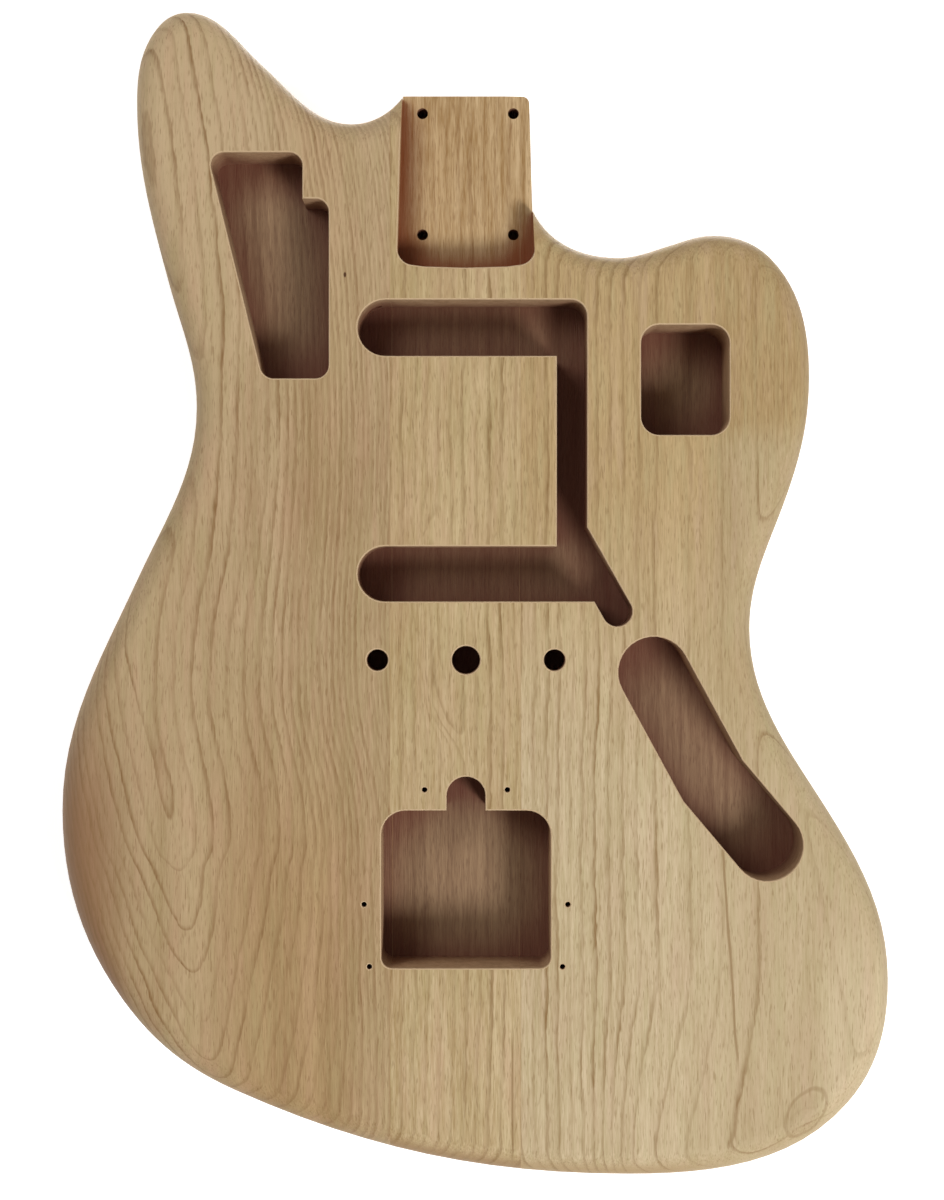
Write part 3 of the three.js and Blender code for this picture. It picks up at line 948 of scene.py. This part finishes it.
def ring_lines(finish, rings, steepness, darkness, marks):
    """The dark late wood: it darkens over a short way and ends at once, each ring with its own strength"""
    whole = rings.nearest_whole()
    away = (rings - whole) / steepness
    before = finish.rise(away, -2.6, 0.0) ** 1.6
    after = finish.fall(away, 0.0, 0.6)
    strength = finish.chance(whole) * 0.7 + 0.4
    patchy = finish.noise((9, 32, 9), 11, 1.0) * 0.5 + 0.78
    dashes = finish.noise((0.6, 6, 0.6), 12, 1.0) * 0.3 + 0.85
    return (before * after * strength * patchy * dashes * darkness).at_least(marks)


def pores(finish):
    """Short dark dashes along the grain"""
    return finish.rise(finish.noise((0.5, 5, 0.5), 21, 1.0), 0.3, 0.9)


def fibres(finish):
    fine = finish.noise((0.45, 8, 0.45), 31, 2.0) * 0.85
    return fine + finish.noise((1.3, 45, 1.3), 32, 2.0) * 0.5


def pit(finish):
    """A small dark pit in the bass board, beside the upper route"""
    return finish.fall(spot(finish, -50, 159.2, 0.75, 1.4), 0.5, 1.0)


def sanded_wood(name, rings_of, tones, seed):
    """Bare wood off the sander: two tones in soft streaks, ring lines, fibres and pores"""
    finish = Finish(name)
    lines = ring_lines(finish, *rings_of(finish))
    away = tones["away"](finish)
    pale = finish.mix(away, colour(*tones["pale"]), colour(*tones["away_pale"]))
    dark = finish.mix(away, colour(*tones["dark"]), colour(*tones["away_dark"]))
    streaks = finish.noise((11, 150, 11), seed, 2.0) * tones["streak"]
    streaks = streaks + fibres(finish) * tones["fibre"](finish) + tones["lightness"](finish)
    wood = finish.mix(streaks, dark, pale)
    patches = finish.noise((9, 55, 9), seed + 4, 1.0) * 0.22
    patches = patches + finish.noise((2.4, 30, 2.4), seed + 5, 1.0) * 0.2
    wood = finish.mix(patches.at_least(0), wood, colour(*tones["flush"]))
    wood = finish.mix((patches * -1).at_least(0), wood, colour(*tones["olive"]))
    # Painted shade on the edges, with the darker ends of the grain at the foot
    wood = finish.mix(tones["edge_share"](finish), wood, colour(*tones["edge"]))
    wood = finish.mix(lines * 0.88, wood, colour(*tones["line"]))
    wood = finish.mix(pores(finish) * 0.45, wood, colour(*tones["line"]))
    wood = finish.mix(pit(finish), wood, colour(74, 46, 22))
    finish.feed("Base Color", wood)
    finish.feed("Roughness", 0.56 + fibres(finish) * 0.05 + lines * -0.05)
    finish.feed("Specular IOR Level", 0.2)
    finish.bump(fibres(finish) * 0.4 + pores(finish) * -0.6, 0.06 * mm)
    return finish.material


def painted_corner_shade(finish, reach, closed, opened):
    """1 deep in a corner, where shade is painted into the colour, and 0 in the open"""
    open_share = finish.node("ShaderNodeAmbientOcclusion", {"samples": 16}, {"Distance": reach}, "AO")
    return finish.fall(open_share, closed, opened)


def routed_wood(name, rings_of, tones, seed):
    """Wood off the cutter: painted shade in the corners, paler on the walls and on the broken edge at the
    mouth
    """
    finish = Finish(name)
    lines = ring_lines(finish, *rings_of(finish))
    streaks = finish.noise((6, 110, 6), seed, 2.0) * 0.4 + fibres(finish) * 0.5 + 0.5
    streaks = streaks + finish.noise((2.2, 40, 2.2), seed + 1, 1.0) * 0.35
    wood = finish.mix(streaks, colour(*tones["dark"]), colour(*tones["pale"]))
    wood = finish.mix(lines * 0.45, wood, colour(*tones["line"]))
    wood = finish.mix(pores(finish) * 0.4, wood, colour(*tones["line"]))
    upright = finish.fall(abs(finish.facing_up()), 0.3, 0.8)
    wall = finish.mix(streaks, colour(*tones["wall_dark"]), colour(*tones["wall"]))
    wood = finish.mix(upright, wood, wall)
    # Painted shade: the corners of the routes and the pocket are darkened and reddened where shadow falls
    corner_shade = painted_corner_shade(finish, *tones["corners"]) * tones["corner_shade_share"]
    wood = finish.mix(corner_shade, wood, colour(*tones["corner_shade"]))
    wood = finish.mix(finish.fall(below_face(finish), 0.7, 1.1), wood, colour(*tones["mouth"]))
    finish.feed("Base Color", wood)
    finish.feed("Roughness", 0.62 + fibres(finish) * 0.05)
    finish.feed("Specular IOR Level", 0.25)
    finish.bump(fibres(finish), 0.05 * mm)
    return finish.material


def dried_glue():
    finish = Finish("dried_glue")
    clots = finish.noise((2, 9, 4), 41, 2.0) * 0.5 + 0.5
    finish.feed("Base Color", finish.mix(clots, colour(142, 108, 68), colour(168, 134, 92)))
    finish.feed("Roughness", 0.42 + clots * 0.12)
    finish.bump(clots, 0.03 * mm)
    return finish.material


# How the tones change along each board


def bass_yellow(finish):
    """The lower bout and the band beside the joint, but not the last few millimetres to it"""
    low = finish.fall(finish.y, -110, 20)
    high = finish.rise(finish.y, 10, 70) * finish.rise(finish.x, -85, -60) * 0.45
    near_joint = finish.rise(finish.x, -60, -34)
    return low.at_least(high) * finish.rise(finish.x, -125, -80) * (1 - near_joint * 0.8)


def bass_lightness(finish):
    return 0.5 + 0.5 * finish.rise(finish.y, 60, 230)


def bass_fibre(finish):
    return 0.4 - 0.1 * finish.fall(finish.x, -110, -70)


def painted_shade_bass_edge(finish):
    """Redder and darker at the far edge of the bass board in the lower bout, most on the arm contour's slope:
    painted shade where the slope turns from the light
    """
    reach = finish.x + finish.noise((12, 60, 12), 71, 1.0) * 4
    slope = finish.fall(finish.z, 38, 44.3)
    return finish.fall(reach, -153, -127) * finish.fall(finish.y, -75, 10) * (0.35 + slope * 0.45)


def beside_joint(finish):
    """The darker strip of the centre board along the bass joint, broken by a pale stretch"""
    stretch = finish.rise(finish.y, -85, -60) * finish.fall(finish.y, -25, -5)
    return finish.fall(finish.x, -32, -12) * (1 - stretch * 0.8)


def centre_lightness(finish):
    return 0.58 - 0.3 * beside_joint(finish)


def centre_fibre(finish):
    return 0.42 + 0.1 * finish.fall(finish.y, -120, -60)


def neck_end_brown(finish):
    return finish.rise(finish.y, -70, 90)


def treble_brown(finish):
    """Browner to the neck end, apart from a painted sheen on the rim of the waist"""
    waist_sheen = finish.rise(finish.x, 96, 112) * finish.rise(finish.y, -5, 15) * finish.fall(finish.y, 85, 102)
    return neck_end_brown(finish) * (1 - waist_sheen * 0.7)


def treble_lightness(finish):
    """Darker away from the joint, with a painted highlight, the palest of all, in the lower corner"""
    painted_highlight_corner = finish.rise(finish.x, 135, 165) * finish.fall(finish.y, -140, -90)
    return 0.58 - 0.2 * finish.rise(finish.x, 85, 115) + 0.35 * painted_highlight_corner


def treble_fibre(finish):
    return 0.42 - 0.16 * finish.rise(finish.x, 85, 115) * finish.fall(finish.y, 60, 110)


def end_grain_and_painted_shade(finish):
    """Darker on the curved edges, above all at the foot: partly the ends of the grain, partly painted shade
    on rims that the key lamp lights too brightly
    """
    foot = finish.fall(finish.y, -195, -165) * finish.fall(finish.x, 80, 125)
    return finish.fall(finish.z, 37, 44.3) * 0.15 + finish.fall(finish.z, 40, 44.5) * foot * 0.8


# Tones on a screen's scale. The away tones take over along the board, and the edge tone on its edges, as
# painted shade and, at the foot, the darker ends of the grain.
# Corners are how far the painted shade in a corner reaches, and how open a corner is where that shade is
# darkest and where it ends.

BASS_TONES = {
    "pale": (195, 171, 134),
    "dark": (161, 136, 97),
    "away": bass_yellow,
    "away_pale": (183, 154, 112),
    "away_dark": (150, 120, 80),
    "flush": (192, 154, 124),
    "olive": (170, 154, 108),
    "line": (134, 102, 63),
    "edge": (140, 101, 72),
    "edge_share": painted_shade_bass_edge,
    "streak": 0.3,
    "lightness": bass_lightness,
    "fibre": bass_fibre,
}
CENTRE_TONES = {
    "pale": (207, 186, 147),
    "dark": (167, 141, 97),
    "away": neck_end_brown,
    "away_pale": (208, 186, 144),
    "away_dark": (170, 143, 100),
    "flush": (196, 162, 132),
    "olive": (182, 168, 120),
    "line": (136, 107, 66),
    "edge": (160, 130, 92),
    "edge_share": end_grain_and_painted_shade,
    "streak": 0.16,
    "lightness": centre_lightness,
    "fibre": centre_fibre,
}
TREBLE_TONES = {
    "pale": (212, 194, 159),
    "dark": (172, 151, 111),
    "away": treble_brown,
    "away_pale": (198, 172, 127),
    "away_dark": (160, 132, 88),
    "flush": (200, 172, 144),
    "olive": (187, 176, 132),
    "line": (140, 111, 70),
    "edge": (176, 150, 110),
    "edge_share": end_grain_and_painted_shade,
    "streak": 0.18,
    "lightness": treble_lightness,
    "fibre": treble_fibre,
}
ROUTED_TONES = {
    "pale": (158, 130, 99),
    "dark": (128, 100, 74),
    "line": (96, 64, 46),
    "wall": (190, 158, 124),
    "wall_dark": (160, 128, 96),
    "mouth": (200, 174, 138),
    "corner_shade": (98, 42, 31),
    "corners": (24 * mm, 0.35, 0.92),
    "corner_shade_share": 0.74,
}
POCKET_TONES = {
    "pale": (204, 176, 134),
    "dark": (156, 122, 76),
    "line": (126, 88, 46),
    "wall": (188, 146, 104),
    "wall_dark": (160, 118, 78),
    "mouth": (200, 174, 138),
    "corner_shade": (118, 52, 12),
    "corners": (18 * mm, 0.48, 0.93),
    "corner_shade_share": 0.9,
}


def dress(piece, finishes):
    """Gives each marked surface its finish"""
    for index, surface in enumerate(piece.data.materials):
        piece.data.materials[index] = finishes[surface.name if surface else "sanded"]


body = routed_body()
boards = [
    ("bass_board", -width, bass_joint, "bass_wood_board", bass_rings, BASS_TONES, 51),
    ("centre_board", bass_joint + glue, treble_joint, "centre_wood_board", centre_rings, CENTRE_TONES, 52),
    ("treble_board", treble_joint + glue, width, "treble_wood_board", treble_rings, TREBLE_TONES, 53),
]
for node, left, right, slot, rings, tones, seed in boards:
    piece = slice_of(body, node + "_wood", left, right)
    finishes = {"sanded": sanded_wood(node + "_sanded", rings, tones, seed)}
    for surface, cut_tones in (("routed", ROUTED_TONES), ("pocket", POCKET_TONES)):
        finishes[surface] = routed_wood(node + "_" + surface, rings, cut_tones, seed)
    dress(piece, finishes)
    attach(piece, "root")
    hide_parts(node)
glue_finish = dried_glue()
for node, left in (("bass_glue_line", bass_joint), ("treble_glue_line", treble_joint)):
    piece = slice_of(body, node + "_film", left, left + glue)
    dress(piece, dict.fromkeys(("sanded", "routed", "pocket"), glue_finish))
    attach(piece, "root")
    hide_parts(node)
bpy.data.objects.remove(body)


# Stage

camera_place = (2.5 * mm, 24.8 * mm, 1094.5 * mm)
focal_length_pixels = 2542
photo_height_pixels = 1200
sensor = 36
lamp_target = (0, 0, 20 * mm)

# The floor glows less near the body, so that a soft shadow shows there
floor_width = 6
floor_lift = 0.05 * mm
near_glow = 0.72


def camera():
    bpy.ops.object.camera_add(location=camera_place, rotation=(0, 0, 0))
    view = bpy.context.object
    view.data.sensor_width = sensor
    view.data.lens = focal_length_pixels / photo_height_pixels * sensor
    bpy.context.scene.camera = view


def lamp(name, place, size, power):
    bpy.ops.object.light_add(type="AREA", location=place)
    light = bpy.context.object
    light.name = name
    light.data.shape = "DISK"
    light.data.size = size
    light.data.energy = power
    aim = Vector(lamp_target) - Vector(place)
    light.rotation_euler = aim.to_track_quat("-Z", "Y").to_euler()


class Backdrop(Finish):
    """The world round the stage"""

    def __init__(self, world):
        self.tree = world.node_tree
        self.shader = self.tree.nodes["Background"]


def seen(finish):
    """1 for what the lens, a reflection or a glass sees, 0 for the light that falls on things"""
    camera_ray = finish.node("ShaderNodeLightPath", output="Is Camera Ray")
    glossy_ray = finish.node("ShaderNodeLightPath", output="Is Glossy Ray")
    transmission_ray = finish.node("ShaderNodeLightPath", output="Is Transmission Ray")
    return (camera_ray + glossy_ray + transmission_ray).at_most(1)


def painted_shade_under_heel(finish):
    """1 under the tab that carries the pocket, where the floor is painted dark red-brown as shade and does
    not glow, so that its screw holes look dark
    """
    across = finish.fall(abs(finish.x), 22.5, 25)
    return across * finish.rise(finish.y, 165, 172) * finish.fall(finish.y, 231.2, 233.4)


def painted_light_in_notch(finish):
    """1 in the notch beside the pocket, which the light hardly reaches: there the floor glows fully, painted
    light over the shadow that falls there
    """
    return finish.fall(spot(finish, 46, 190, 26, 26), 0.7, 1.5)


def studio_floor():
    """A white floor whose underside lets the view and the light through, so that the back can be seen too"""
    bpy.ops.mesh.primitive_plane_add(size=floor_width, location=(0, 0, floor_lift))
    piece = bpy.context.object
    piece.name = "floor"
    piece.visible_shadow = False
    finish = Finish("studio_floor")
    heel_shade = painted_shade_under_heel(finish)
    far = finish.rise(spot(finish, 0, 0, 1, 1), 320, 1400)
    # Painted light: the floor glows fully in the notch, over the body's shadow
    bright = far.at_least(painted_light_in_notch(finish))
    glow = seen(finish) * (1 - heel_shade) * (near_glow + bright * (1 - near_glow))
    # Painted shade: the floor under the heel tab is dark red-brown
    finish.feed("Base Color", finish.mix(heel_shade, (0.9, 0.9, 0.9, 1), (0.1, 0.03, 0.02, 1)))
    finish.feed("Roughness", 0.9)
    finish.feed("Specular IOR Level", 0.0)
    finish.feed("Emission Color", finish.mix(glow, (0, 0, 0, 1), (1, 1, 1, 1)))
    finish.feed("Emission Strength", 0.9)
    finish.feed("Alpha", 1 - finish.node("ShaderNodeNewGeometry", output="Backfacing"))
    piece.data.materials.append(finish.material)


def backdrop():
    world = bpy.data.worlds.new("studio")
    bpy.context.scene.world = world
    world.use_nodes = True
    finish = Backdrop(world)
    finish.feed("Color", finish.mix(seen(finish), (1, 0.88, 0.8, 1), (1, 1, 1, 1)))
    finish.feed("Strength", seen(finish) * 0.8 + 0.2)


camera()
lamp("key_softbox", (1.15, -1.25, 1.8), 0.7, 43.5)
lamp("fill_softbox", (-1.0, 0.8, 1.8), 0.9, 12.5)
lamp("neck_end_softbox", (-0.4, 2.0, 0.6), 0.8, 7)
lamp("under_softbox", (0.3, 1.2, -1.3), 0.9, 18)
studio_floor()
backdrop()
bpy.context.scene.view_settings.view_transform = "Standard"
